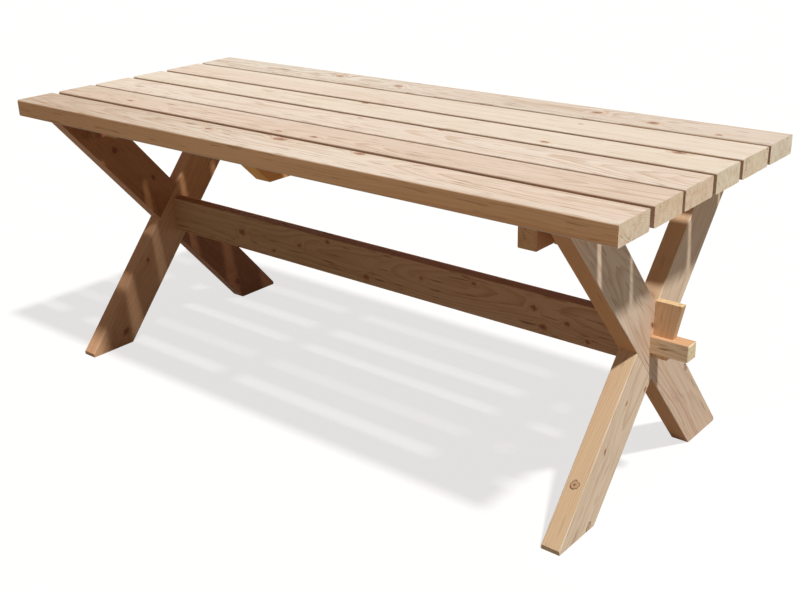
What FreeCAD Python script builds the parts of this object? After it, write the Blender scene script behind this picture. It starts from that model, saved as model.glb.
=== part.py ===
import FreeCAD, Part
import Sketcher
import os
import re

# Sawbuck table: a plank top on battens, two half-lapped X trestles, and a stretcher
# whose through-tenons are locked by tusk wedges.
# X runs along the top, Y from the front edge to the back, Z up from the floor.

# Driving dimensions in millimetres, angles in degrees.
driving = [
    ("table_height", 750, "floor to the upper face of the planks"),
    ("top_length", 1860, "length of every plank"),
    ("plank_width", 118, "nominal width of a plank"),
    ("extra_one", -3, "front plank's width beyond the nominal"),
    ("extra_two", -5, "second plank's width beyond the nominal"),
    ("extra_three", 3, "third plank's width beyond the nominal"),
    ("extra_four", -7, "fourth plank's width beyond the nominal"),
    ("extra_five", 12, "fifth plank's width beyond the nominal"),
    ("extra_six", 2, "back plank's width beyond the nominal"),
    ("plank_thick", 45, "thickness of every plank"),
    ("plank_round", 4, "radius of the planks' long arrises"),
    ("gap_one", 18, "gap behind the front plank"),
    ("gap_two", 11, "second gap from the front"),
    ("gap_three", 16, "third gap from the front"),
    ("gap_four", 16, "fourth gap from the front"),
    ("gap_five", 13, "gap before the back plank"),
    ("trestle_span", 1640, "outer face to outer face of the trestles"),
    ("leg_width", 114, "width of a leg across its length"),
    ("leg_thick", 45, "thickness of a leg"),
    ("leg_angle", 40.3, "lean of a leg from the vertical"),
    ("leg_round", 2, "radius of the legs' long arrises"),
    ("toe_trim", 10, "height of the upright cut at a foot's sharp toe"),
    ("lap_clear", 0.2, "side clearance of the half-laps"),
    ("stretcher_height", 101, "depth of the stretcher"),
    ("stretcher_thick", 36, "thickness of the stretcher and its tenons"),
    ("stretcher_round", 2, "radius of the stretcher's long arrises"),
    ("tenon_height", 38, "depth of a tenon"),
    ("tenon_reach", 90, "tenon beyond the legs' outer face"),
    ("tenon_ease", 2, "chamfer round a tenon's end"),
    ("mortise_clear", 0.2, "clearance round a tenon in its mortise"),
    ("wedge_length", 134, "height of a tusk wedge"),
    ("wedge_head", 63, "width of a wedge at its upper end"),
    ("wedge_toe", 35, "width of a wedge at its lower end"),
    ("wedge_thick", 18, "thickness of a wedge"),
    ("wedge_below", 15, "wedge below the tenon's underside"),
    ("wedge_offset", 3, "wedge behind the stretcher's middle"),
    ("wedge_ease", 1, "radius of a wedge's arrises"),
    ("wedge_clear", 0.1, "clearance of a wedge on every side"),
    ("draw_room", 4, "slot inside the legs' outer face, so that a wedge can draw"),
    ("batten_height", 59, "depth of a batten"),
    ("batten_thick", 44, "thickness of an end batten"),
    ("batten_inset", 42, "right end batten behind the top's long edges"),
    ("left_inset", 138, "left end batten behind the top's long edges"),
    ("batten_round", 2, "radius of the lower arrises of battens and rails"),
    ("middle_thick", 48, "thickness of the middle batten"),
    ("middle_inset", 23, "middle batten behind the top's long edge"),
    ("middle_shift", -52, "middle batten from the middle of the top"),
    ("bevel_angle", 45, "bevel of the middle batten's ends"),
    ("rail_height", 60, "depth of a trestle's top rail"),
    ("rail_thick", 38, "thickness of a trestle's top rail"),
    ("rail_setback", 85, "rail behind the outer corners of the leg tops"),
    ("screw_radius", 2.5, "shank of a wood screw"),
    ("screw_head_radius", 5, "head of a wood screw"),
    ("screw_head_height", 3.2, "height of a wood screw's head"),
    ("screw_crown_radius", 3.5, "flat crown of a wood screw's head"),
    ("screw_rim", 1.6, "upright rim of a wood screw's head"),
    ("screw_point", 5, "length of a wood screw's point"),
    ("screw_clear", 0.1, "clearance round screws and bolts"),
    ("head_bore_radius", 6.5, "counterbore for a screw's head"),
    ("plank_screw_length", 70, "plank screw under its head"),
    ("plank_screw_depth", 12, "counterbore under a batten"),
    ("plank_screw_edge", 22, "plank screw from a plank's long edge"),
    ("outer_screw_pitch", 30, "between the two screws of an outer plank"),
    ("rail_screw_length", 60, "rail screw under its head"),
    ("rail_screw_depth", 6, "counterbore in a rail"),
    ("rail_screw_end", 30, "rail screw from a rail's end"),
    ("rail_screw_pitch", 30, "between the two screws of a leg, along the rail"),
    ("rail_screw_drop", 20, "upper rail screw below the planks"),
    ("rail_screw_step", 22, "lower rail screw below the upper one"),
    ("bolt_radius", 4, "shank of a coach bolt"),
    ("bolt_head_radius", 10, "domed head of a coach bolt"),
    ("bolt_head_height", 4.5, "height of a coach bolt's head"),
    ("bolt_crown_radius", 6, "flat crown of a coach bolt's head"),
    ("bolt_rim", 1.5, "upright rim of a coach bolt's head"),
    ("bolt_offset", 65, "bolt from the middle of a batten"),
    ("bolt_drop", 30, "bolt below the planks"),
    ("bolt_tail", 2.5, "bolt beyond its nut"),
    ("washer_radius", 12, "outside of a washer"),
    ("washer_thick", 2, "thickness of a washer"),
    ("nut_flats", 13, "nut across its flats"),
    ("nut_height", 6.5, "height of a nut"),
]

doc = FreeCAD.newDocument("sawbuck_table")
sheet = doc.addObject("Spreadsheet::Sheet", "Sizes")
for row, (alias, size, note) in enumerate(driving, 1):
    sheet.set(f"A{row}", note)
    sheet.set(f"B{row}", str(size))
    sheet.setAlias(f"B{row}", alias)
doc.recompute()

gaps = ["gap_one", "gap_two", "gap_three", "gap_four", "gap_five"]
extras = ["extra_one", "extra_two", "extra_three", "extra_four", "extra_five", "extra_six"]
plank_count = len(extras)

# Places that several pieces share, as formulas on the sheet's names.
lean = "leg_angle * 1 deg"
under_top = "(table_height - plank_thick)"
top_width = f"({plank_count} * plank_width + {' + '.join(extras + gaps)})"
crossing = f"({under_top} / 2)"
leg_run = f"({under_top} * tan({lean}))"
foot_width = f"(leg_width / cos({lean}))"
leg_reach = f"(({leg_run} + {foot_width}) / 2)"
outer_face = "(trestle_span / 2)"
inner_face = f"({outer_face} - leg_thick)"
lap_face = f"({outer_face} - leg_thick / 2)"
rail_face = f"({inner_face} - rail_thick)"
batten_face = f"({rail_face} - batten_thick)"
batten_under = f"({under_top} - batten_height)"
rail_end = f"({leg_reach} - rail_setback)"
tenon_end = f"({outer_face} + tenon_reach)"
tenon_low = f"({crossing} - tenon_height / 2)"
tenon_high = f"({crossing} + tenon_height / 2)"
wedge_face = f"({outer_face} + wedge_clear)"
wedge_low = f"({tenon_low} - wedge_below)"
wedge_high = f"({wedge_low} + wedge_length)"
wedge_slope = "((wedge_head - wedge_toe) / wedge_length)"
screw_seat = f"({batten_under} + plank_screw_depth)"
screw_tip = f"({screw_seat} + plank_screw_length)"
shank_bore = "(screw_radius + screw_clear)"
bolt_bore = "(bolt_radius + screw_clear)"


def bind(formula):
    # names on the sheet hold an underscore; functions and units don't
    return re.sub(r"[a-z]+(?:_[a-z]+)+", lambda found: "Sizes." + found.group(), formula)


def number(formula):
    return float(sheet.evalExpression(formula))


def flip(formula):
    return f"(0 - {formula})"


def along_x(side, near, far):
    # low and high X of a span given by its distances from the middle
    if side > 0:
        return near, far
    return flip(far), flip(near)


def new_body(name):
    body = doc.addObject("PartDesign::Body", name)
    body.Label = name
    return body


def sketch_on(body, role, offset):
    plane = next(item for item in body.Origin.OriginFeatures if item.Role == role)
    sketch = body.newObject("Sketcher::SketchObject", body.Name + "_sketch")
    sketch.AttachmentSupport = [(plane, "")]
    sketch.MapMode = "FlatFace"
    sketch.setExpression("AttachmentOffset.Base.z", bind(offset))
    return sketch


def place_point(sketch, geometry, end, across, up):
    for kind, formula in (("DistanceX", across), ("DistanceY", up)):
        fixed = Sketcher.Constraint(kind, -1, 1, geometry, end, number(formula))
        index = sketch.addConstraint(fixed)
        sketch.setExpression(f"Constraints[{index}]", bind(formula))


def polygon(sketch, corners):
    points = [FreeCAD.Vector(number(across), number(up), 0) for across, up in corners]
    following = points[1:] + points[:1]
    edges = [Part.LineSegment(first, second) for first, second in zip(points, following)]
    sketch.addGeometry(edges, False)
    for index in range(len(points)):
        sketch.addConstraint(Sketcher.Constraint("Coincident", index, 2, (index + 1) % len(points), 1))
    for index, (across, up) in enumerate(corners):
        place_point(sketch, index, 1, across, up)


def rectangle(sketch, left, right, low, high):
    polygon(sketch, [(left, low), (right, low), (right, high), (left, high)])


def circles(sketch, centres, radius):
    axis = FreeCAD.Vector(0, 0, 1)
    for across, up in centres:
        centre = FreeCAD.Vector(number(across), number(up), 0)
        index = sketch.addGeometry(Part.Circle(centre, axis, number(radius)), False)
        place_point(sketch, index, 3, across, up)
        size = sketch.addConstraint(Sketcher.Constraint("Radius", index, number(radius)))
        sketch.setExpression(f"Constraints[{size}]", bind(radius))


def pad(body, sketch, length):
    feature = body.newObject("PartDesign::Pad", body.Name + "_pad")
    feature.Profile = sketch
    feature.setExpression("Length", bind(length))
    doc.recompute()
    return feature


def pocket(body, sketch, length):
    # cuts from the sketch against its plane's normal
    before = body.Shape.Volume
    feature = body.newObject("PartDesign::Pocket", body.Name + "_pocket")
    feature.Profile = sketch
    feature.setExpression("Length", bind(length))
    doc.recompute()
    if not body.Shape.Volume < before:
        raise RuntimeError(f"{feature.Name} removes nothing")
    return feature


def bore(body, role, low, high, centres, radius):
    sketch = sketch_on(body, role, high)
    circles(sketch, centres, radius)
    pocket(body, sketch, f"{high} - {low}")


def dress(body, kind, size_name, size, wanted):
    base = body.Tip
    names = [f"Edge{index}" for index, edge in enumerate(base.Shape.Edges, 1) if wanted(edge)]
    feature = body.newObject(f"PartDesign::{kind}", f"{body.Name}_{kind.lower()}")
    feature.Base = (base, names)
    feature.setExpression(size_name, bind(size))
    doc.recompute()


def runs_along(edge, direction):
    line = edge.lastVertex().Point - edge.firstVertex().Point
    return line.Length > 0 and abs(line.normalize().dot(direction)) > 0.999


def plank_span(index):
    # front and back edge of a plank, counted from the front
    parts = [f"{index} * plank_width", *extras[:index], *gaps[:index]]
    front = f"(0 - {top_width} / 2 + {' + '.join(parts)})"
    return front, f"({front} + plank_width + {extras[index]})"


def plank_seats(index, outer_seats):
    # screw lines of a plank: by both long edges, or in from the inner edge of an outer plank
    front, back = plank_span(index)
    if index == 0:
        return [f"({back} - {seat})" for seat in outer_seats]
    if index == plank_count - 1:
        return [f"({front} + {seat})" for seat in outer_seats]
    return [f"({front} + plank_screw_edge)", f"({back} - plank_screw_edge)"]


def batten_seats(line, outer_seats):
    return [(line, seat) for index in range(plank_count) for seat in plank_seats(index, outer_seats)]


# Screw lines of the three battens: X of the line, and its screws in from an outer plank's inner edge.
near_seat = "plank_screw_edge"
far_seat = "(plank_screw_edge + outer_screw_pitch)"
left_line = flip(f"({rail_face} - batten_thick / 2)")
right_line = f"({rail_face} - batten_thick / 2)"
batten_lines = {
    "left": (left_line, []),
    "middle": ("middle_shift", [near_seat]),
    "right": (right_line, [near_seat, far_seat]),
}

nodes = []


def make_planks():
    length_way = FreeCAD.Vector(1, 0, 0)
    for index in range(plank_count):
        body = new_body(f"top_plank_{index + 1}")
        front, back = plank_span(index)
        sketch = sketch_on(body, "YZ_Plane", "0 - top_length / 2")
        rectangle(sketch, front, back, under_top, "table_height")
        pad(body, sketch, "top_length")
        dress(body, "Fillet", "Radius", "plank_round", lambda edge: runs_along(edge, length_way))
        seats = []
        for line, outer_seats in batten_lines.values():
            seats += [(line, seat) for seat in plank_seats(index, outer_seats)]
        bore(body, "XY_Plane", under_top, screw_tip, seats, shank_bore)
        nodes.append(body)


def ease_lower(body, under):
    across = FreeCAD.Vector(0, 1, 0)
    height = number(under)
    dress(body, "Fillet", "Radius", "batten_round",
          lambda edge: runs_along(edge, across) and abs(edge.CenterOfMass.z - height) < 0.01)


def bore_batten(body, place):
    seats = batten_seats(*batten_lines[place])
    bore(body, "XY_Plane", batten_under, under_top, seats, shank_bore)
    bore(body, "XY_Plane", batten_under, screw_seat, seats, "head_bore_radius")


def bolt_seats():
    drop = f"({under_top} - bolt_drop)"
    return [("(0 - bolt_offset)", drop), ("bolt_offset", drop)]


def make_end_battens():
    for place, side, inset in (("left", -1, "left_inset"), ("right", 1, "batten_inset")):
        body = new_body(f"{place}_batten")
        low, high = along_x(side, batten_face, rail_face)
        reach = f"({top_width} / 2 - {inset})"
        sketch = sketch_on(body, "YZ_Plane", low)
        rectangle(sketch, flip(reach), reach, batten_under, under_top)
        pad(body, sketch, "batten_thick")
        ease_lower(body, batten_under)
        bore_batten(body, place)
        bore(body, "YZ_Plane", low, high, bolt_seats(), bolt_bore)
        nodes.append(body)


def make_middle_batten():
    body = new_body("middle_batten")
    reach = f"({top_width} / 2 - middle_inset)"
    foot = f"({reach} - batten_height * tan(bevel_angle * 1 deg))"
    sketch = sketch_on(body, "YZ_Plane", "middle_shift - middle_thick / 2")
    polygon(sketch, [
        (flip(foot), batten_under),
        (foot, batten_under),
        (reach, under_top),
        (flip(reach), under_top),
    ])
    pad(body, sketch, "middle_thick")
    ease_lower(body, batten_under)
    bore_batten(body, "middle")
    nodes.append(body)


def rail_screw_seats(end):
    # two screws into one leg, stepped down the leg's slope; end is -1 at the front, 1 at the back
    outer = f"({rail_end} - rail_screw_end)"
    inner = f"({outer} - rail_screw_pitch)"
    high = f"({under_top} - rail_screw_drop)"
    low = f"({high} - rail_screw_step)"
    return [(outer if end > 0 else flip(outer), high), (inner if end > 0 else flip(inner), low)]


def make_rails():
    for place, side in (("left", -1), ("right", 1)):
        body = new_body(f"{place}_trestle_rail")
        low, high = along_x(side, rail_face, inner_face)
        under = f"({under_top} - rail_height)"
        sketch = sketch_on(body, "YZ_Plane", low)
        rectangle(sketch, flip(rail_end), rail_end, under, under_top)
        pad(body, sketch, "rail_thick")
        ease_lower(body, under)
        bore(body, "YZ_Plane", low, high, bolt_seats(), bolt_bore)
        seats = rail_screw_seats(-1) + rail_screw_seats(1)
        bore(body, "YZ_Plane", low, high, seats, shank_bore)
        head_low, head_high = along_x(side, rail_face, f"({rail_face} + rail_screw_depth)")
        bore(body, "YZ_Plane", head_low, head_high, seats, "head_bore_radius")
        nodes.append(body)


def leg_corners(foot_end):
    # outline of a leg whose foot is at the front (-1) or the back (1)
    trim = f"({leg_reach} - toe_trim * tan({lean}))"
    corners = [
        (trim, "0"),
        (f"({leg_reach} - {foot_width})", "0"),
        (flip(leg_reach), under_top),
        (f"({foot_width} - {leg_reach})", under_top),
        (trim, "toe_trim"),
    ]
    if foot_end > 0:
        return corners
    return [(flip(across), up) for across, up in corners]


def lap_corners(foot_end):
    # the crossing leg's strip, widened by the lap's clearance
    spare = f"(lap_clear / cos({lean}))"
    corners = [
        (f"({leg_reach} + {spare})", "0"),
        (f"({leg_reach} - {foot_width} - {spare})", "0"),
        (f"(0 - {leg_reach} - {spare})", under_top),
        (f"({foot_width} - {leg_reach} + {spare})", under_top),
    ]
    if foot_end > 0:
        return corners
    return [(flip(across), up) for across, up in corners]


def make_legs():
    half_depth = "(stretcher_thick / 2 + mortise_clear)"
    slope = number(lean)
    for place, side in (("left", -1), ("right", 1)):
        for name, foot_end in (("front", -1), ("back", 1)):
            body = new_body(f"{place}_{name}_leg")
            low, high = along_x(side, inner_face, outer_face)
            sketch = sketch_on(body, "YZ_Plane", low)
            polygon(sketch, leg_corners(foot_end))
            pad(body, sketch, "leg_thick")
            turn = FreeCAD.Rotation(FreeCAD.Vector(1, 0, 0), foot_end * slope)
            length_way = turn.multVec(FreeCAD.Vector(0, 0, 1))
            dress(body, "Fillet", "Radius", "leg_round", lambda edge: runs_along(edge, length_way))
            # the leg with its foot at the back runs through on the outer face
            near, far = (inner_face, lap_face) if foot_end > 0 else (lap_face, outer_face)
            lap_low, lap_high = along_x(side, near, far)
            lap = sketch_on(body, "YZ_Plane", lap_high)
            polygon(lap, lap_corners(-foot_end))
            pocket(body, lap, f"{lap_high} - {lap_low}")
            mortise = sketch_on(body, "YZ_Plane", high)
            rectangle(mortise, flip(half_depth), half_depth,
                      f"({tenon_low} - mortise_clear)", f"({tenon_high} + mortise_clear)")
            pocket(body, mortise, "leg_thick")
            # the leg's head is at the other end from its foot
            pilot_end = f"({rail_face} + rail_screw_depth + rail_screw_length)"
            pilot_low, pilot_high = along_x(side, inner_face, pilot_end)
            bore(body, "YZ_Plane", pilot_low, pilot_high, rail_screw_seats(-foot_end), shank_bore)
            nodes.append(body)


def wedge_edge(height):
    # outer face of the right-hand wedge at a height
    return f"({wedge_face} + wedge_toe + {wedge_slope} * ({height} - {wedge_low}))"


def make_stretcher():
    body = new_body("stretcher")
    low = f"({crossing} - stretcher_height / 2)"
    high = f"({crossing} + stretcher_height / 2)"
    right_end = [
        (inner_face, low),
        (inner_face, tenon_low),
        (tenon_end, tenon_low),
        (tenon_end, tenon_high),
        (inner_face, tenon_high),
        (inner_face, high),
    ]
    left_end = [(flip(across), up) for across, up in reversed(right_end)]
    sketch = sketch_on(body, "XZ_Plane", "0 - stretcher_thick / 2")
    polygon(sketch, right_end + left_end)
    pad(body, sketch, "stretcher_thick")
    length_way = FreeCAD.Vector(1, 0, 0)
    shoulder = number(inner_face)
    dress(body, "Fillet", "Radius", "stretcher_round",
          lambda edge: runs_along(edge, length_way) and edge.Length > shoulder)
    reach = number(tenon_end)
    dress(body, "Chamfer", "Size", "tenon_ease",
          lambda edge: all(abs(abs(vertex.X) - reach) < 0.01 for vertex in edge.Vertexes))
    # tapered slots for the wedges
    for side in (-1, 1):
        corners = [
            (f"({outer_face} - draw_room)", tenon_low),
            (f"({wedge_edge(tenon_low)} + wedge_clear)", tenon_low),
            (f"({wedge_edge(tenon_high)} + wedge_clear)", tenon_high),
            (f"({outer_face} - draw_room)", tenon_high),
        ]
        slot = sketch_on(body, "XZ_Plane", "wedge_thick / 2 + wedge_clear - wedge_offset")
        polygon(slot, corners if side > 0 else [(flip(across), up) for across, up in corners])
        pocket(body, slot, "wedge_thick + 2 * wedge_clear")
    nodes.append(body)


def make_wedges():
    for place, side in (("left", -1), ("right", 1)):
        body = new_body(f"{place}_wedge")
        corners = [
            (wedge_face, wedge_low),
            (wedge_edge(wedge_low), wedge_low),
            (wedge_edge(wedge_high), wedge_high),
            (wedge_face, wedge_high),
        ]
        sketch = sketch_on(body, "XZ_Plane", "0 - wedge_offset - wedge_thick / 2")
        polygon(sketch, corners if side > 0 else [(flip(across), up) for across, up in corners])
        pad(body, sketch, "wedge_thick")
        dress(body, "Fillet", "Radius", "wedge_ease", lambda edge: True)
        nodes.append(body)


# Fasteners: one blank of each kind along Z, seated at the origin and placed in groups.
def turned_blank(name, corners):
    body = new_body(name)
    sketch = sketch_on(body, "XZ_Plane", "0")
    polygon(sketch, corners)
    turned = body.newObject("PartDesign::Revolution", name + "_revolution")
    turned.Profile = sketch
    turned.ReferenceAxis = (sketch, ["V_Axis"])
    turned.Angle = 360
    doc.recompute()
    return body


def screw_blank(name, length):
    # head below the seat, shank and point above it
    return turned_blank(name, [
        ("0", "(0 - screw_head_height)"),
        ("screw_crown_radius", "(0 - screw_head_height)"),
        ("screw_head_radius", "(0 - screw_rim)"),
        ("screw_head_radius", "0"),
        ("screw_radius", "0"),
        ("screw_radius", f"({length} - screw_point)"),
        ("0", length),
    ])


def bolt_blank():
    length = "(batten_thick + rail_thick + washer_thick + nut_height + bolt_tail)"
    return turned_blank("bolt_blank", [
        ("0", "(0 - bolt_head_height)"),
        ("bolt_crown_radius", "(0 - bolt_head_height)"),
        ("bolt_head_radius", "(0 - bolt_rim)"),
        ("bolt_head_radius", "0"),
        ("bolt_radius", "0"),
        ("bolt_radius", length),
        ("0", length),
    ])


def washer_blank():
    return turned_blank("washer_blank", [
        (bolt_bore, "0"),
        ("washer_radius", "0"),
        ("washer_radius", "washer_thick"),
        (bolt_bore, "washer_thick"),
    ])


def nut_blank():
    body = new_body("nut_blank")
    sketch = sketch_on(body, "XY_Plane", "0")
    corner = "(nut_flats / 2 / cos(30 deg))"
    turns = [f"({60 * index} * 1 deg)" for index in range(6)]
    polygon(sketch, [(f"({corner} * cos({turn}))", f"({corner} * sin({turn}))") for turn in turns])
    pad(body, sketch, "nut_height")
    bore(body, "XY_Plane", "0", "nut_height", [("0", "0")], bolt_bore)
    return body


def group(name, blank, seats, direction):
    # one node of separate solids, a copy of the blank at each seat
    turn = FreeCAD.Rotation(FreeCAD.Vector(0, 0, 1), direction)
    solids = []
    for seat in seats:
        solid = blank.Shape.copy()
        solid.Placement = FreeCAD.Placement(FreeCAD.Vector(*[number(formula) for formula in seat]), turn)
        solids.append(solid)
    feature = doc.addObject("Part::Feature", name)
    feature.Label = name
    feature.Shape = Part.makeCompound(solids)
    nodes.append(feature)


def make_plank_screws():
    blank = screw_blank("plank_screw_blank", "plank_screw_length")
    for place, line in batten_lines.items():
        seats = [(across, along, screw_seat) for across, along in batten_seats(*line)]
        group(f"{place}_plank_screws", blank, seats, FreeCAD.Vector(0, 0, 1))


def make_trestle_fasteners():
    screw = screw_blank("rail_screw_blank", "rail_screw_length")
    bolt = bolt_blank()
    washer = washer_blank()
    nut = nut_blank()
    rail_seats = rail_screw_seats(-1) + rail_screw_seats(1)
    kinds = [
        ("rail_screws", screw, f"({rail_face} + rail_screw_depth)", rail_seats),
        ("batten_bolts", bolt, batten_face, bolt_seats()),
        ("bolt_washers", washer, inner_face, bolt_seats()),
        ("bolt_nuts", nut, f"({inner_face} + washer_thick)", bolt_seats()),
    ]
    for place, side in (("left", -1), ("right", 1)):
        for kind, blank, face, seats in kinds:
            level = face if side > 0 else flip(face)
            group(f"{place}_{kind}", blank, [(level, *seat) for seat in seats], FreeCAD.Vector(side, 0, 0))


make_planks()
make_end_battens()
make_middle_batten()
make_rails()
make_legs()
make_stretcher()
make_wedges()
make_plank_screws()
make_trestle_fasteners()
doc.recompute()

failed = [item.Name for item in doc.Objects if {"Invalid", "Error"} & set(item.State)]
if failed:
    raise RuntimeError(f"objects failed: {failed}")
for node in nodes:
    if node.Shape.isNull() or not node.Shape.isValid():
        raise RuntimeError(f"{node.Label} has no valid shape")

os.makedirs("parts", exist_ok=True)
for node in nodes:
    node.Shape.exportStep(f"parts/{node.Label}.step")
    print(f"{node.Label}: {len(node.Shape.Solids)} solid(s), {node.Shape.Volume:.0f} mm3")
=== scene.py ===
import math
import bmesh
import bpy
from mathutils import Matrix, Quaternion, Vector


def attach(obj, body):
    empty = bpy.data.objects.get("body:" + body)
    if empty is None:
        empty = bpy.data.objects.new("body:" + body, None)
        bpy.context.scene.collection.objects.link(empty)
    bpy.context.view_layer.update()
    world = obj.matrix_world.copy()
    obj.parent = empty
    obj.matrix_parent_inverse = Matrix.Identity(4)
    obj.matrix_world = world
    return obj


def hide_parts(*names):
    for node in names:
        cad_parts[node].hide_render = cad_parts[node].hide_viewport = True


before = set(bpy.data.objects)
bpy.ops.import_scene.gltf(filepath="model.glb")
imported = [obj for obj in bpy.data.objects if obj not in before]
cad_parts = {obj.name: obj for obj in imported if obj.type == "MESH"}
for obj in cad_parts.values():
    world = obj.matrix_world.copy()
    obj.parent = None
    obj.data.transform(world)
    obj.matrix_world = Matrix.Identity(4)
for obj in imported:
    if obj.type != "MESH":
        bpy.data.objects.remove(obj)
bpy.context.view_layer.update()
mm = 0.001
print("frame:", len(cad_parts), "pieces loaded")


def tint(red, green, blue):  # 0 to 255 as seen on screen, into what a colour socket takes
    def linear(level):
        level /= 255
        return level / 12.92 if level <= 0.04045 else ((level + 0.055) / 1.055) ** 2.4
    return (linear(red), linear(green), linear(blue), 1)


class Wire:  # a node socket that sums and products can be written with
    def __init__(self, tree, socket=None):
        self.tree = tree
        self.socket = socket

    def node(self, kind, settings=None, sockets=None, output=0):
        made = self.tree.nodes.new(kind)
        for name, setting in (settings or {}).items():
            setattr(made, name, setting)
        for name, given in (sockets or {}).items():
            if isinstance(given, Wire):
                self.tree.links.new(given.socket, made.inputs[name])
            else:
                made.inputs[name].default_value = given
        return Wire(self.tree, made.outputs[output])

    def maths(self, operation, *others):
        sockets = dict(enumerate((self, *others)))
        return self.node("ShaderNodeMath", {"operation": operation}, sockets)

    def mathsFrom(self, operation, first):  # the plain number comes first
        return self.node("ShaderNodeMath", {"operation": operation}, {0: first, 1: self})

    def __add__(self, other):
        return self.maths("ADD", other)

    def __radd__(self, other):
        return self.mathsFrom("ADD", other)

    def __sub__(self, other):
        return self.maths("SUBTRACT", other)

    def __rsub__(self, other):
        return self.mathsFrom("SUBTRACT", other)

    def __mul__(self, other):
        return self.maths("MULTIPLY", other)

    def __rmul__(self, other):
        return self.mathsFrom("MULTIPLY", other)

    def __truediv__(self, other):
        return self.maths("DIVIDE", other)

    def __rpow__(self, other):
        return self.mathsFrom("POWER", other)

    def __abs__(self):
        return self.maths("ABSOLUTE")

    def vector(self, operation, *others, output=0):
        sockets = dict(enumerate((self, *others)))
        return self.node("ShaderNodeVectorMath", {"operation": operation}, sockets, output)

    def split(self):
        made = self.node("ShaderNodeSeparateXYZ", {}, {"Vector": self}).socket.node
        return [Wire(self.tree, socket) for socket in made.outputs]

    def step(self, low, high):  # eases from 0 at low to 1 at high
        sockets = {"Value": self, "From Min": low, "From Max": high}
        return self.node("ShaderNodeMapRange", {"interpolation_type": "SMOOTHSTEP"}, sockets)

    def mix(self, first, second):  # this wire is the share of the second colour
        sockets = {0: self, 6: first, 7: second}  # by number, because other sockets share their names
        return self.node("ShaderNodeMix", {"data_type": "RGBA"}, sockets, 2)

    def noise(self, scale, shift, detail=2.0):  # about 0 to 1, with a scale and a shift for each axis
        place = self.vector("MULTIPLY_ADD", scale, shift)
        return self.node("ShaderNodeTexNoise", {}, {"Vector": place, "Scale": 1.0, "Detail": detail})

    def feed(self, socket):
        self.tree.links.new(self.socket, socket)


def newMaterial(name):
    material = bpy.data.materials.new(name)
    material.use_nodes = True
    surface = material.node_tree.nodes["Principled BSDF"]
    return material, Wire(material.node_tree), surface.inputs


# Softwood: pale sapwood, pinker heartwood, dark late wood in every ring
softwood = {
    "heart": (242, 221, 204),
    "sap": (247, 232, 216),
    "late": (211, 180, 153),
    "fleck": (152, 118, 94),
    "knot": (188, 132, 96),
    "knotCore": (116, 70, 48),
    "knotRim": (92, 58, 40),
    "knotHalo": (226, 190, 162),
    "endGrain": (255, 252, 232),
    "endLate": (228, 194, 156),
    "crack": (120, 88, 62),
    "worn": (250, 242, 230),
    "backTone": (248, 228, 203),   # unpainted tone of faces turned to the back, the left or the floor; front faces take the boards' tones with painted shade
}
colour = {name: tint(*shade) for name, shade in softwood.items()}


def boardAxes(grain, through):  # columns: along the grain, across, through
    along = Vector(grain).normalized()
    depth = Vector(through).normalized()
    return Matrix((along, depth.cross(along), depth)).transposed()


def boardSpan(node, axes):  # middle and half sizes of a board in its own axes
    turned = axes.transposed()
    points = [turned @ vertex.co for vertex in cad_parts[node].data.vertices]
    low = Vector([min(point[axis] for point in points) for axis in range(3)])
    high = Vector([max(point[axis] for point in points) for axis in range(3)])
    return axes @ ((low + high) / 2), (high - low) / 2


# Growth rings round the pith, lengths in mm and scales per metre
rings = {
    "gap": 4.6,                    # between two rings
    "wander": 50,                  # how far the pith strays along a board
    "wanderAcross": (1.3, 0, 0),
    "wanderThrough": (1.7, 0, 0),
    "wave": 8,                     # slow bends of the rings
    "waveScale": (3.5, 26, 26),
    "shiver": 1.6,                 # fine bends of the rings
    "shiverScale": (14, 120, 120),
    "lateFrom": (0.3, 0.93),       # late wood darkens slowly over this share of a ring
    "lateTo": (0.94, 1.0),         # and ends sharply over this one
    "weakest": 0.35,               # share of late wood in the weakest ring
    "patchScale": (3, 24, 24),     # patches of weaker and stronger rings
    "patchEdge": (0.3, 0.7),
    "patchLeast": 0.4,
    "patchGain": 0.8,
    "sapFrom": 88,                 # from the pith to the first sapwood
    "sapBlend": 14,                # over which heartwood turns to sapwood
}


def growthRings(local, cut, swell):  # late wood in each ring, sapwood, and the place round the pith
    seed = cut["seed"]
    along, across, depth = local.split()
    sway = local.noise(rings["wanderAcross"], (seed, 2, 0), detail=1.0) - 0.5
    dip = local.noise(rings["wanderThrough"], (seed, 5, 0), detail=1.0) - 0.5
    wander = rings["wander"] * mm
    fromAcross = across - cut["pith"][0] * mm - along * cut["lean"][0] - sway * wander
    fromDepth = depth - cut["pith"][1] * mm - along * cut["lean"][1] - dip * wander
    wave = local.noise(rings["waveScale"], (seed, seed, 1)) - 0.5
    shiver = local.noise(rings["shiverScale"], (seed, 3, seed)) - 0.5
    radius = (fromAcross * fromAcross + fromDepth * fromDepth).maths("SQRT")
    radius = radius + wave * (rings["wave"] * mm) + shiver * (rings["shiver"] * mm) + swell
    count = radius / (rings["gap"] * mm)
    phase = count.maths("FRACT")
    vigour = count.node("ShaderNodeTexWhiteNoise", {"noise_dimensions": "1D"}, {"W": count - phase + seed})
    late = phase.step(*rings["lateFrom"]) * (1 - phase.step(*rings["lateTo"]))
    late = late * (rings["weakest"] + (1 - rings["weakest"]) * vigour)
    patch = local.noise(rings["patchScale"], (seed, 7, 2)).step(*rings["patchEdge"])
    late = late * (rings["patchLeast"] + rings["patchGain"] * patch)
    bark = radius.step(rings["sapFrom"] * mm, (rings["sapFrom"] + rings["sapBlend"]) * mm)
    return late, bark, radius, fromDepth.maths("ARCTAN2", fromAcross)


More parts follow.
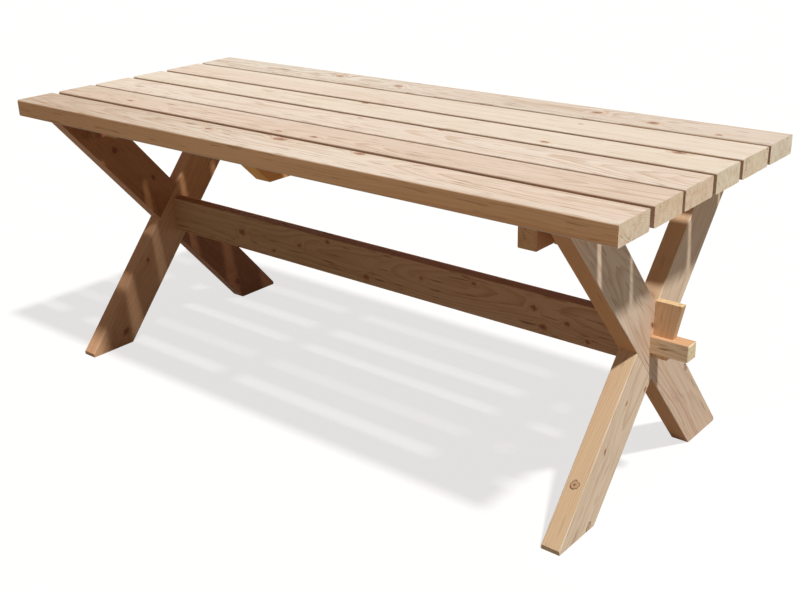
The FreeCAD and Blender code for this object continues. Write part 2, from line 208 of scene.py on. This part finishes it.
# Figure of the clear wood, scales per metre
figure = {
    "sapByBark": 0.7,              # share of the sapwood tone that follows the bark, the rest lies in clouds
    "cloudScale": (1.5, 6, 6),
    "cloudEdge": (0.35, 0.7),
    "fibreScale": (7, 420, 420),
    "fibreDepth": 0.5,
    "fibreBase": 0.12,
    "streakScale": (1.8, 64, 64),
    "streakEdge": (0.5, 0.78),
    "streakDepth": 0.4,
    "fleckScale": (13, 190, 190),
    "fleckEdge": (0.64, 0.74),
    "fleckDepth": 0.45,
    "lateDepth": 0.62,             # how dark the late wood goes
    "edgeCalm": 0.35,              # how far the figure fades on a board's narrow faces
}


def clearWood(local, cut, late, bark, cloud, narrow):  # also gives the fibres and flecks for the relief
    seed = cut["seed"]
    strength = (1 - narrow * figure["edgeCalm"]) * cut.get("figure", 1.0)
    fibre = local.noise(figure["fibreScale"], (seed, 0, seed), detail=3.0)
    streak = local.noise(figure["streakScale"], (0, seed, seed), detail=3.0).step(*figure["streakEdge"])
    fleck = local.noise(figure["fleckScale"], (seed, seed, 0), detail=1.0).step(*figure["fleckEdge"])
    sap = bark * figure["sapByBark"] + cloud.step(*figure["cloudEdge"]) * (1 - figure["sapByBark"])
    wood = sap.mix(colour["heart"], colour["sap"])
    wood = (late * strength * figure["lateDepth"]).mix(wood, colour["late"])
    wood = (streak * strength * figure["streakDepth"]).mix(wood, colour["late"])
    wood = (fleck * strength * figure["fleckDepth"]).mix(wood, colour["fleck"])
    wood = ((fibre - 0.5) * figure["fibreDepth"] + figure["fibreBase"]).mix(wood, colour["late"])
    return wood, fibre, fleck


# Knots: branches that grow out from the pith as cones
# Lengths are in mm, scales per metre, and pairs are places in knot radii, apart from the breaks
knotForm = {
    "lean": 0.22,                  # how far a branch leans along the grain
    "stretch": 1.5,                # how much longer a knot is along the grain
    "bud": 4,                      # nearer than this to its root a branch gets no thinner
    "ragged": 9,                   # how far the outline strays
    "raggedScale": 120.0,
    "swell": 10,                   # how far the rings give way round a knot
    "swellFall": 0.8,
    "edge": (0.85, 1.1),
    "depth": 0.82,
    "core": (0.1, 0.75),
    "coreDepth": 0.9,
    "ringRate": 22,
    "ringDepth": 0.2,
    "halo": (1.0, 2.6),
    "haloDepth": 0.5,
    "gnarlScale": (90, 90, 90),
    "rimWidth": (0.02, 0.2),
    "rimBreaks": (0.4, 0.62),
    "rimDepth": 0.6,
}
looseKnot = {                      # a broken dark ring round sound wood
    "edge": (0.8, 1.1),
    "depth": 0.4,
    "gapAt": 0.95,
    "gapWidth": (0.05, 0.22),
    "gapBreaks": (0.3, 0.55),
    "gapDepth": 0.8,
    "heart": (0.1, 0.35),
}


def nearestKnot(local, cut, spots):  # 1 at the rim of the nearest knot, less inside it
    ragged = {"Vector": local, "Scale": knotForm["raggedScale"], "Detail": 3.0}
    jitter = local.node("ShaderNodeTexNoise", {}, ragged, 1).vector("SUBTRACT", (0.5,) * 3)
    squeeze = 1 / cut.get("stretch", knotForm["stretch"])
    shaken = jitter.vector("MULTIPLY_ADD", (knotForm["ragged"] * mm,) * 3, local)
    shaken = shaken.vector("MULTIPLY", (squeeze, 1, 1))
    nearest = None
    for along, across, depth, size in spots:
        tip = Vector((along * squeeze, across, depth)) * mm
        root = Vector((along * squeeze, *cut["pith"])) * mm
        root.x -= knotForm["lean"] * (tip - root).length
        branch = tip - root
        offset = shaken.vector("SUBTRACT", root)
        away = offset.vector("CROSS_PRODUCT", branch.normalized()).vector("LENGTH", output=1)
        outward = offset.vector("DOT_PRODUCT", branch.normalized(), output=1)
        share = away / outward.maths("MAXIMUM", knotForm["bud"] * mm) * (branch.length / (size * mm))
        nearest = share if nearest is None else nearest.maths("MINIMUM", share)
    return nearest


def knottyWood(local, cut, wood, knot):  # also gives the knots and their rims for gloss and relief
    gnarl = local.noise(knotForm["gnarlScale"], (cut["seed"], 1, 4), detail=3.0)
    inside = 1 - knot.step(*knotForm["edge"])
    rim = (1 - abs(knot - 1.0).step(*knotForm["rimWidth"])) * gnarl.step(*knotForm["rimBreaks"])
    knotRings = (knot * knotForm["ringRate"]).maths("SINE") * knotForm["ringDepth"] + knotForm["ringDepth"]
    core = knotRings + (1 - knot.step(*knotForm["core"])) * knotForm["coreDepth"]
    wood = ((1 - knot.step(*knotForm["halo"])) * knotForm["haloDepth"]).mix(wood, colour["knotHalo"])
    wood = (inside * knotForm["depth"]).mix(wood, core.mix(colour["knot"], colour["knotCore"]))
    wood = (rim * knotForm["rimDepth"]).mix(wood, colour["knotRim"])
    if "looseKnots" in cut:
        loose = nearestKnot(local, cut, cut["looseKnots"])
        wood = ((1 - loose.step(*looseKnot["edge"])) * looseKnot["depth"]).mix(wood, colour["knot"])
        gap = 1 - abs(loose - looseKnot["gapAt"]).step(*looseKnot["gapWidth"])
        gap = gap * gnarl.step(*looseKnot["gapBreaks"])
        gap = gap.maths("MAXIMUM", 1 - loose.step(*looseKnot["heart"]))
        wood = (gap * looseKnot["gapDepth"]).mix(wood, colour["knotRim"])
    return wood, inside, rim


# Sawn ends, with drying cracks that run out from the pith
endCut = {
    "ringDepth": 0.4,
    "blotchScale": (70, 70, 70),
    "blotchEdge": (0.35, 0.72),
    "blotchDepth": 0.45,
    "crackTurn": 9,                # a higher number gives more cracks round the pith
    "crackReach": 14,              # a higher number gives shorter ones
    "crackWidth": (0.003, 0.014),
    "crackGroups": (0.4, 2, 1),
    "groupEdge": (0.46, 0.62),
    "crackDepth": 0.7,
    "cover": 0.85,                 # how far the end grain hides the figure
}


def sawnEnds(local, cut, late, radius, angle):  # also gives the cracks for the relief
    around = {0: angle * endCut["crackTurn"], 1: radius * endCut["crackReach"], 2: cut["seed"]}
    spot = radius.node("ShaderNodeCombineXYZ", {}, around)
    line = abs(spot.noise((1, 1, 1), (0, 0, 0), detail=3.0) - 0.5)
    groups = spot.noise(endCut["crackGroups"], (7, 3, 0), detail=1.0)
    cracks = (1 - line.step(*endCut["crackWidth"])) * groups.step(*endCut["groupEdge"])
    blotch = local.noise(endCut["blotchScale"], (cut["seed"], 6, 2), detail=4.0).step(*endCut["blotchEdge"])
    ends = late * endCut["ringDepth"] + blotch * endCut["blotchDepth"]
    ends = ends.mix(colour["endGrain"], colour["endLate"])
    return (cracks * endCut["crackDepth"]).mix(ends, colour["crack"]), cracks


# Pale wear along the long arrises: begins and is full this many mm from the arris
wear = {"begins": 6, "full": 1, "patches": (0.3, 0.6), "depth": 0.22}


def edgeWear(local, half, cloud):
    _, across, depth = local.vector("ABSOLUTE").vector("SUBTRACT", half).split()  # below 0 inside the board
    arris = across.maths("MINIMUM", depth).step(-wear["begins"] * mm, -wear["full"] * mm)
    return arris * cloud.step(*wear["patches"]) * wear["depth"]


# Which way a face is turned: cosines at which a mask begins and is full
turn = {
    "sawn": (0.45, 0.8),
    "narrow": (0.75, 1.0),
    "frontSide": (0.6, -0.7, 0.4),   # faces turned to here take the boards' tones with painted shade, faces turned away have the back tone
    "front": (-0.05, 0.05),
}


def boardToneAndShade(local, cut, facing, sawn, narrow):  # each board's tone on faces, edges and ends, with painted shade on faces turned to the front
    face, edge = tint(*cut["toneAndShade"]), tint(*cut["edgeToneAndShade"])
    for begins, full, faceToneAndShade, edgeToneAndShade in cut.get("stretchesOfToneAndShade", []):
        stretch = local.split()[0].step(begins * mm, full * mm)
        face = stretch.mix(face, tint(*faceToneAndShade))
        edge = stretch.mix(edge, tint(*edgeToneAndShade))
    toneAndShade = sawn.mix(narrow.mix(face, edge), tint(*cut.get("endToneAndShade", cut["toneAndShade"])))
    # painted shade: faces turned to the front keep the board's shaded tones, faces turned away get the back
    # tone
    front = facing.vector("DOT_PRODUCT", turn["frontSide"], output=1).step(*turn["front"])
    return front.mix(colour["backTone"], toneAndShade)


# Planed finish: what roughens or smooths it, and the shares of each mark in the relief
planed = {
    "roughness": 0.6,
    "fibreRough": 0.2,
    "lateGloss": 0.06,
    "knotGloss": 0.12,
    "endRough": 0.15,
    "specular": 0.16,
    "relief": 0.16,                # mm
    "reliefStrength": 0.8,
    "fibreHeight": 0.6,
    "lateHeight": 0.5,
    "fleckDepth": 0.7,
    "rimHeight": 0.6,
    "crackDepth": 2.5,
}


def boardWood(node, cut, axes):
    material, start, surface = newMaterial(node + "_wood")
    centre, half = boardSpan(node, axes)
    place = start.node("ShaderNodeTexCoord", output="Object")
    facing = start.node("ShaderNodeTexCoord", output="Normal")
    turned = {"Vector": place, "Location": centre, "Rotation": axes.to_euler()}
    local = start.node("ShaderNodeMapping", {"vector_type": "TEXTURE"}, turned)  # metres in the board's axes
    sawn = abs(facing.vector("DOT_PRODUCT", axes.col[0], output=1)).step(*turn["sawn"])
    narrow = abs(facing.vector("DOT_PRODUCT", axes.col[1], output=1)).step(*turn["narrow"])

    knot = nearestKnot(local, cut, cut["knots"])
    swell = knotForm["swellFall"] ** (knot * knot) * (knotForm["swell"] * mm)
    late, bark, radius, angle = growthRings(local, cut, swell)
    cloud = local.noise(figure["cloudScale"], (cut["seed"], 9, cut["seed"]))
    wood, fibre, fleck = clearWood(local, cut, late, bark, cloud, narrow)
    wood, inside, rim = knottyWood(local, cut, wood, knot)
    ends, cracks = sawnEnds(local, cut, late, radius, angle)
    wood = (sawn * endCut["cover"]).mix(wood, ends)
    wood = edgeWear(local, half, cloud).mix(wood, colour["worn"])
    # the board's tones put painted shade on the faces turned to the front
    wood = wood.vector("MULTIPLY", boardToneAndShade(local, cut, facing, sawn, narrow))

    rough = planed["roughness"] + fibre * planed["fibreRough"] - late * planed["lateGloss"]
    rough = rough - inside * planed["knotGloss"] + sawn * planed["endRough"]
    height = fibre * planed["fibreHeight"] + late * planed["lateHeight"] - fleck * planed["fleckDepth"]
    height = height + rim * planed["rimHeight"] - sawn * cracks * planed["crackDepth"]
    relief = {"Strength": planed["reliefStrength"], "Distance": planed["relief"] * mm, "Height": height}
    wood.feed(surface["Base Color"])
    rough.feed(surface["Roughness"])
    start.node("ShaderNodeBump", {}, relief).feed(surface["Normal"])
    surface["Specular IOR Level"].default_value = planed["specular"]
    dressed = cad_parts[node].data
    dressed.materials.clear()
    dressed.materials.append(material)


# Top planks from the front edge to the back
# Pith: across and through in mm; lean: how it drifts along the board
# Knots: along, across, through and radius in mm
# Stretches of tone and shade: along in mm where another tone begins and is full, and that tone on faces and
# on edges
# Edge tones are darker and warmer than the faces: painted shade on plank 1's front edge and in the gaps,
# with the less bleached sides of the wood. Planks 1 and 2 turn darker towards their left ends
planks = {
    "top_plank_1": {"seed": 1.3, "pith": (14, -78), "lean": (0.012, 0.03), "figure": 1.6,
                    "toneAndShade": (250, 253, 253), "edgeToneAndShade": (244, 207, 165), "endToneAndShade": (255, 244, 234),
                    "stretchesOfToneAndShade": [(300, -900, (219, 212, 205), (226, 188, 148))],
                    "knots": [(-3, 39, 22, 9), (237, 45, 22, 7), (-222, 14, 22, 5)]},
    "top_plank_2": {"seed": 4.1, "pith": (-20, 88), "lean": (0.016, -0.022), "figure": 1.3,
                    "toneAndShade": (245, 246, 245), "endToneAndShade": (254, 239, 226),
                    "stretchesOfToneAndShade": [(-400, -900, (235, 233, 228), (222, 202, 182))],
                    "knots": [(-61, -39, 22, 5), (50, -34, 22, 5), (-652, -20, 22, 5)]},
    "top_plank_3": {"seed": 7.7, "pith": (8, -96), "lean": (-0.01, 0.026), "figure": 1.3,
                    "toneAndShade": (249, 251, 252), "endToneAndShade": (255, 240, 229),
                    "knots": [(10, 43, 22, 2.5), (251, 55, 22, 4)]},
    "top_plank_4": {"seed": 2.9, "pith": (34, -104), "lean": (0.02, -0.018), "figure": 0.9,
                    "toneAndShade": (250, 254, 252), "endToneAndShade": (255, 249, 240),
                    "knots": [(-92, 50, 22, 6), (512, -35, 22, 5), (797, 45, 22, 7)]},
    "top_plank_5": {"seed": 9.2, "pith": (-40, 110), "lean": (-0.014, 0.02), "figure": 0.7,
                    "toneAndShade": (250, 254, 254), "endToneAndShade": (255, 246, 235),
                    "knots": [(491, 20, 22, 2.5)]},
    "top_plank_6": {"seed": 5.5, "pith": (10, -70), "lean": (0.01, 0.024), "figure": 1.9, "stretch": 1.4,
                    "toneAndShade": (245, 252, 255), "endToneAndShade": (255, 251, 247),
                    "knots": [(-403, 13, 22, 9), (-164, -7, 22, 9), (461, 8, 22, 9), (625, -16, 22, 10),
                              (800, -39, 22, 5)]},
}
plankStretch = 2.2  # most planks have knots drawn out along the grain
plankEdgeShade = (222, 202, 182)  # painted shade on the edges in the gaps, with the less bleached sides of the wood
for node, cut in planks.items():
    cut.setdefault("stretch", plankStretch)
    cut.setdefault("edgeToneAndShade", plankEdgeShade)
    boardWood(node, cut, boardAxes((1, 0, 0), (0, 0, 1)))
print("top planks: wood made")

# Legs: along runs from the foot to the head, across points up, and through points to the right
# on the front legs and to the left on the back ones
# Leg tones carry painted shade: the left legs' faces under the top are darker, the left front leg more so
# towards its head and the left back leg most towards its foot; the right back leg's front edge is darker,
# and its face turns lighter towards the head as painted light
legs = {
    "right_front_leg": {"seed": 3.4, "pith": (-6, -74), "lean": (0.02, 0.03),
                        "toneAndShade": (255, 250, 237), "edgeToneAndShade": (242, 224, 197),
                        "knots": [(-269, 27, 22, 4), (-155, 15, 22, 3), (-99, -46, 22, 4)],
                        "looseKnots": [(-426, -31, 22, 7), (-360, 57, -2, 6.5)]},
    "right_back_leg": {"seed": 8.8, "pith": (12, 84), "lean": (-0.02, 0.02), "figure": 1.2,
                       "toneAndShade": (243, 231, 218), "edgeToneAndShade": (220, 174, 128),
                       "stretchesOfToneAndShade": [(60, 160, (255, 251, 242), (220, 174, 128))],
                       "knots": [(39, 19, -22, 5)], "looseKnots": [(-212, 47, -22, 7)]},
    "left_front_leg": {"seed": 6.1, "pith": (20, -80), "lean": (0.02, -0.02),
                       "toneAndShade": (233, 201, 170), "edgeToneAndShade": (234, 202, 172),
                       "stretchesOfToneAndShade": [(-100, 100, (213, 168, 125), (234, 202, 172))],
                       "knots": [(-398, -14, 22, 8), (-180, 30, 22, 5), (260, -24, 22, 7)]},
    "left_back_leg": {"seed": 1.9, "pith": (-16, 82), "lean": (0.016, 0.024),
                      "toneAndShade": (161, 117, 89), "edgeToneAndShade": (204, 160, 124),
                      "stretchesOfToneAndShade": [(-100, 100, (184, 138, 100), (204, 160, 124))],
                      "knots": [(-360, -32, -22, 8), (312, -4, -22, 7), (150, 20, -22, 5)]},
}
# painted shade on the legs' sawn ends
legEndShade = (176, 136, 102)
legLean = math.radians(40.3)  # from upright
for node, cut in legs.items():
    cut["endToneAndShade"] = legEndShade
    side = 1 if "front" in node else -1
    upLeg = (0, side * math.sin(legLean), math.cos(legLean))
    boardWood(node, cut, boardAxes(upLeg, (side, 0, 0)))
print("legs: wood made")

# Stretcher: its knots are on the front face; its tones are painted shade under the top, darkest on its top
# face and lifting towards the right, and its second stretch is the right tenon, where the painted shade ends
stretcherCut = {
    "seed": 5.2, "pith": (10, -66), "lean": (0.02, 0.016), "figure": 1.9,
    "toneAndShade": (206, 177, 142), "edgeToneAndShade": (172, 128, 98), "endToneAndShade": (255, 247, 225),
    "stretchesOfToneAndShade": [(-400, 700, (230, 201, 171), (172, 128, 98)),
                (795, 830, (255, 247, 225), (234, 206, 172))],
    "knots": [(-476, 0, 18, 8), (-348, -28, 18, 4), (-246, 8, 18, 5), (-138, 39, 18, 5), (-2, -30, 18, 6),
              (184, 9, 18, 4), (348, 32, 18, 4), (521, 12, 18, 6), (547, -30, 18, 7), (611, -5, 18, 5),
              (667, -35, 18, 4)],
}
boardWood("stretcher", stretcherCut, boardAxes((1, 0, 0), (0, -1, 0)))
print("stretcher: wood made")

# Battens under the top and rails on the trestles, all with the grain from front to back
# Their tones are painted shade under the top, with painted warm bounce light on the middle batten
battens = {
    "left_batten": {"seed": 2.2, "pith": (30, -40), "lean": (0.01, 0.02), "toneAndShade": (200, 156, 116),
                    "knots": [(-120, 5, 30, 6)]},
    "middle_batten": {"seed": 6.6, "pith": (-34, 50), "lean": (0.02, 0.01), "toneAndShade": (246, 191, 122),
                      "knots": [(90, -4, -30, 7)]},
    "right_batten": {"seed": 3.8, "pith": (36, 44), "lean": (0.015, -0.02), "toneAndShade": (231, 187, 150),
                     "knots": [(-60, 3, -30, 6)]},
    "left_trestle_rail": {"seed": 8.1, "pith": (-40, -46), "lean": (0.02, 0.02), "toneAndShade": (168, 122, 88),
                          "knots": [(40, 2, 30, 6)]},
    "right_trestle_rail": {"seed": 7.3, "pith": (38, -44), "lean": (-0.02, 0.02), "toneAndShade": (236, 196, 154),
                           "knots": [(-150, -3, 30, 6)]},
}
for node, cut in battens.items():
    cut["edgeToneAndShade"] = cut["toneAndShade"]
    boardWood(node, cut, boardAxes((0, 1, 0), (0, 0, 1)))
print("battens and rails: wood made")

# Tusk wedges with the grain upright
wedges = {
    "left_wedge": {"seed": 4.7, "pith": (30, -46), "lean": (0.05, 0.02), "knots": [(-48, 12, 9, 3)]},
    "right_wedge": {"seed": 9.9, "pith": (-34, 52), "lean": (0.04, -0.03), "knots": [(-40, 10, 9, 3)]},
}
wedgeTone = (246, 224, 192)
for node, cut in wedges.items():
    cut["toneAndShade"] = cut["edgeToneAndShade"] = wedgeTone
    boardWood(node, cut, boardAxes((0, 0, 1), (0, 1, 0)))
print("wedges: wood made")

# Zinc-plated steel for screws, bolts, washers and nuts
zinc = {
    "bright": (206, 207, 206),
    "dull": (164, 162, 152),
    "spangleScale": (700, 700, 700),
    "spangleDull": 0.3,
    "spangleRough": 0.18,
    "stainScale": (160, 160, 160),
    "stainEdge": (0.4, 0.7),
    "stainDull": 0.6,
    "stainRough": 0.12,
    "roughness": 0.3,
    "scratchHeight": 0.02,   # mm
    "scratchStrength": 0.5,
    "sharpAngle": 38,        # degrees from which an edge shows
}


def zincSteel():
    material, start, surface = newMaterial("zincSteel")
    place = start.node("ShaderNodeTexCoord", output="Object")
    spangle = place.noise(zinc["spangleScale"], (0, 0, 0), detail=3.0)
    stain = place.noise(zinc["stainScale"], (4, 1, 7)).step(*zinc["stainEdge"])
    dullness = stain * zinc["stainDull"] + spangle * zinc["spangleDull"]
    dullness.mix(tint(*zinc["bright"]), tint(*zinc["dull"])).feed(surface["Base Color"])
    rough = zinc["roughness"] + spangle * zinc["spangleRough"] + stain * zinc["stainRough"]
    rough.feed(surface["Roughness"])
    relief = {"Strength": zinc["scratchStrength"], "Distance": zinc["scratchHeight"] * mm, "Height": spangle}
    start.node("ShaderNodeBump", {}, relief).feed(surface["Normal"])
    surface["Metallic"].default_value = 1.0
    return material


weldReach = 0.01 * mm  # corners nearer than this are one corner


def solidBoxes(node):  # lowest and highest corner of each solid in a node
    shape = bmesh.new()
    shape.from_mesh(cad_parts[node].data)
    bmesh.ops.remove_doubles(shape, verts=shape.verts, dist=weldReach)
    boxes = []
    seen = set()
    for first in shape.verts:
        if first in seen:
            continue
        seen.add(first)
        reached = [first]
        for vertex in reached:
            for edge in vertex.link_edges:
                other = edge.other_vert(vertex)
                if other not in seen:
                    seen.add(other)
                    reached.append(other)
        low = Vector([min(vertex.co[axis] for vertex in reached) for axis in range(3)])
        high = Vector([max(vertex.co[axis] for vertex in reached) for axis in range(3)])
        boxes.append((low, high))
    shape.free()
    return boxes


def ring(height, radius, sides):  # either may change with the angle
    points = []
    for index in range(sides):
        angle = 2 * math.pi * index / sides
        reach = radius(angle) if callable(radius) else radius
        level = height(angle) if callable(height) else height
        points.append(Vector((reach * math.cos(angle), reach * math.sin(angle), level)) * mm)
    return points


def skin(shape, place, outlines, hollow):  # hollow pieces close on themselves, the others get caps
    loops = [[shape.verts.new(place @ point) for point in points] for points in outlines]
    pairs = list(zip(loops, loops[1:]))
    if hollow:
        pairs.append((loops[-1], loops[0]))
    for low, high in pairs:
        for index in range(len(low)):
            after = (index + 1) % len(low)
            shape.faces.new((low[index], low[after], high[after], high[index]))
    if not hollow:
        shape.faces.new(reversed(loops[0]))
        shape.faces.new(loops[-1])


def threadRings(form, start, end):
    count = round((end - start) / form["pitch"] * form["threadSteps"])
    depth = form["crest"] - form["root"]
    outlines = []
    for index in range(count + 1):
        height = start + (end - start) * index / count

        def reach(angle):
            wave = (height / form["pitch"] - angle / (2 * math.pi)) % 1
            return form["root"] + depth * (1 - abs(2 * wave - 1))
        outlines.append(ring(height, reach, form["sides"]))
    return outlines


# Wood screw with a domed washer head and a six-lobed recess: radii and heights in mm
screw = {
    "head": 5.0, "headHeight": 3.2,
    "crown": 3.3, "crownLip": 0.5, "round": 0.1,   # flat middle of the head and its eased edges
    "domeSteps": (0.3, 0.6, 0.85, 1.0),            # shares of the way from the crown to the rim
    "recess": 1.9, "lobes": 6, "lobe": 0.4, "recessDepth": 2.0, "recessTaper": 0.9,
    "shank": 2.4, "plain": 24, "runOut": 0.5,
    "root": 1.7, "crest": 2.45, "pitch": 3.4, "threadSteps": 4,
    "point": 5, "tip": 0.15, "sides": 24,
}


def screwRings(length):
    sides, crown, rounded, top = screw["sides"], screw["crown"], screw["round"], screw["headHeight"]

    def lobed(angle):
        return screw["recess"] + screw["lobe"] * math.cos(screw["lobes"] * angle)

    def floor(angle):
        return lobed(angle) * screw["recessTaper"]
    outlines = [ring(screw["recessDepth"], floor, sides), ring(rounded, lobed, sides)]
    outlines += [ring(0, crown - screw["crownLip"], sides), ring(rounded, crown, sides)]
    rim = top / 2  # the dome falls away to here
    for share in screw["domeSteps"]:
        reach = crown + (screw["head"] - crown) * share
        outlines.append(ring(rounded + (rim - rounded) * share ** 2, reach, sides))
    neck = top + screw["plain"]
    outlines += [ring(top, screw["head"], sides), ring(top, screw["shank"], sides)]
    outlines.append(ring(neck, screw["shank"], sides))
    outlines += threadRings(screw, neck + screw["runOut"], length - screw["point"])
    outlines.append(ring(length, screw["tip"], sides))
    return outlines


# Coach bolt with a mushroom head: radii and heights in mm
bolt = {
    "head": 10.0, "headHeight": 4.5, "rim": 1.5, "crown": 1.5,
    "domeSteps": (0.2, 0.4, 0.6, 0.8, 0.92, 1.0), "domeCurve": 2.4,   # a higher curve gives a flatter top
    "shank": 3.95, "threaded": 22, "runOut": 0.3,
    "root": 3.35, "crest": 3.95, "pitch": 1.25, "threadSteps": 5,
    "pointHeight": 0.4, "pointInset": 0.3, "sides": 32,
}


def boltRings(length):
    sides, under = bolt["sides"], bolt["headHeight"]
    fall = under - bolt["rim"]
    plain = length - bolt["threaded"]
    outlines = [ring(0, bolt["crown"], sides)]
    for share in bolt["domeSteps"]:
        reach = bolt["crown"] + (bolt["head"] - bolt["crown"]) * share
        outlines.append(ring(fall * share ** bolt["domeCurve"], reach, sides))
    outlines += [ring(under, bolt["head"], sides), ring(under, bolt["shank"], sides)]
    outlines.append(ring(plain, bolt["shank"], sides))
    outlines += threadRings(bolt, plain + bolt["runOut"], length - bolt["pointHeight"])
    outlines.append(ring(length, bolt["root"] - bolt["pointInset"], sides))
    return outlines


# Punched washer and chamfered nut: radii and heights in mm, and the nut across its flats
washer = {"bore": 4.15, "outside": 12.0, "roll": 0.35, "sides": 40}
nut = {"bore": 4.05, "flats": 13.0, "mouth": 0.6, "faceShare": 0.97, "chamferAngle": 30, "sides": 48}


def washerRings(thick):
    sides, roll, bore, outside = washer["sides"], washer["roll"], washer["bore"], washer["outside"]
    profile = [(0, bore + roll), (0, outside - roll), (roll, outside), (thick - roll, outside),
               (thick, outside - roll), (thick, bore + roll), (thick - roll, bore), (roll, bore)]
    return [ring(height, reach, sides) for height, reach in profile]


def nutRings(thick):
    sides, bore, mouth = nut["sides"], nut["bore"], nut["mouth"]
    apothem = nut["flats"] / 2
    face = apothem * nut["faceShare"]

    def corner(angle):
        return apothem / math.cos(angle % (math.pi / 3) - math.pi / 6)

    def chamfer(angle):
        return (corner(angle) - face) * math.tan(math.radians(nut["chamferAngle"]))
    return [ring(mouth, bore, sides), ring(0, bore + mouth, sides), ring(0, face, sides),
            ring(chamfer, corner, sides), ring(lambda angle: thick - chamfer(angle), corner, sides),
            ring(thick, face, sides), ring(thick, bore + mouth, sides), ring(thick - mouth, bore, sides)]


def fastenerGroup(node, way, makeRings, hollow, material):
    shape = bmesh.new()
    along = Vector(way)
    layAlong = along.to_track_quat("Z", "Y").to_matrix().to_4x4()  # the outlines' height onto the way
    for low, high in solidBoxes(node):
        length = abs((high - low).dot(along))
        start = (low + high) / 2 - along * length / 2
        skin(shape, Matrix.Translation(start) @ layAlong, makeRings(length / mm), hollow)
    bmesh.ops.recalc_face_normals(shape, faces=shape.faces)
    mesh = bpy.data.meshes.new(node + "_steel")
    shape.to_mesh(mesh)
    shape.free()
    mesh.shade_smooth()
    mesh.set_sharp_from_angle(angle=math.radians(zinc["sharpAngle"]))
    mesh.materials.append(material)
    piece = bpy.data.objects.new(node + "_steel", mesh)
    bpy.context.scene.collection.objects.link(piece)
    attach(piece, "table_frame")
    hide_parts(node)


steel = zincSteel()
for place in ("left", "middle", "right"):
    fastenerGroup(place + "_plank_screws", (0, 0, 1), screwRings, False, steel)
for place, side in (("left", -1), ("right", 1)):
    fastenerGroup(place + "_rail_screws", (side, 0, 0), screwRings, False, steel)
    fastenerGroup(place + "_batten_bolts", (side, 0, 0), boltRings, False, steel)
    fastenerGroup(place + "_bolt_washers", (side, 0, 0), washerRings, True, steel)
    fastenerGroup(place + "_bolt_nuts", (side, 0, 0), nutRings, True, steel)
print("fasteners: screws, bolts, washers and nuts turned")

# Studio: floor, light and camera
studio = {
    "floorSize": 40.0,               # metres
    "floorDrop": 0.2,                # mm under the feet
    "floorColour": (150, 148, 146),
    "floorRoughness": 0.9,
    "floorGlow": 0.72,               # lifts the floor to white for the eye alone
    "fill": 0.14,
    "fillColour": (255, 228, 200),
    "keyStrength": 3.1,
    "keyFrom": (0.43, -0.09, 0.9),
    "keySize": 4.0,                  # degrees across, for soft shadows
}


def seenDirectly(start):  # 1 for what the eye, a mirror or glass sees, 0 for light on the object
    camera, glossy, through = [start.node("ShaderNodeLightPath", output=name)
                               for name in ("Is Camera Ray", "Is Glossy Ray", "Is Transmission Ray")]
    return camera.maths("MAXIMUM", glossy).maths("MAXIMUM", through)


def layFloor():
    reach = studio["floorSize"] / 2
    level = -studio["floorDrop"] * mm
    corners = [(-reach, -reach), (reach, -reach), (reach, reach), (-reach, reach)]
    mesh = bpy.data.meshes.new("studioFloor")
    mesh.from_pydata([(across, along, level) for across, along in corners], [], [(0, 1, 2, 3)])
    floor = bpy.data.objects.new("studioFloor", mesh)
    bpy.context.scene.collection.objects.link(floor)
    material, start, surface = newMaterial("floorPaint")
    surface["Base Color"].default_value = tint(*studio["floorColour"])
    surface["Roughness"].default_value = studio["floorRoughness"]
    surface["Specular IOR Level"].default_value = 0.0
    surface["Emission Strength"].default_value = 1.0
    glow = seenDirectly(start) * studio["floorGlow"]
    start.node("ShaderNodeCombineColor", {}, {0: glow, 1: glow, 2: glow}).feed(surface["Emission Color"])
    mesh.materials.append(material)


def lightStudio():
    world = bpy.data.worlds.new("studio")
    world.use_nodes = True
    bpy.context.scene.world = world
    start = Wire(world.node_tree)
    fill = [level * studio["fill"] for level in tint(*studio["fillColour"])[:3]]
    surround = seenDirectly(start).mix((*fill, 1), (1, 1, 1, 1))
    surround.feed(world.node_tree.nodes["Background"].inputs["Color"])
    lamp = bpy.data.lights.new("keyLight", "SUN")
    lamp.energy = studio["keyStrength"]
    lamp.angle = math.radians(studio["keySize"])
    key = bpy.data.objects.new("keyLight", lamp)
    key.rotation_mode = "QUATERNION"
    key.rotation_quaternion = Vector(studio["keyFrom"]).to_track_quat("Z", "Y")
    bpy.context.scene.collection.objects.link(key)


eye = {
    "lens": 49.205,                  # mm
    "sensor": 36.0,                  # mm across
    "place": (1.7964, -2.0082, 1.3576),
    "aim": (0.3006, -0.2414, 0.4136),
    "roll": -1.503,                  # degrees
}


def standCamera():
    camera = bpy.data.cameras.new("camera")
    camera.lens = eye["lens"]
    camera.sensor_width = eye["sensor"]
    stand = bpy.data.objects.new("camera", camera)
    stand.location = eye["place"]
    look = Vector(eye["aim"]) - Vector(eye["place"])
    roll = Quaternion((0, 0, 1), math.radians(eye["roll"]))
    stand.rotation_mode = "QUATERNION"
    stand.rotation_quaternion = look.to_track_quat("-Z", "Y") @ roll
    bpy.context.scene.collection.objects.link(stand)
    bpy.context.scene.camera = stand


layFloor()
lightStudio()
standCamera()
bpy.context.scene.view_settings.view_transform = "Standard"
print("studio: floor, light and camera set")
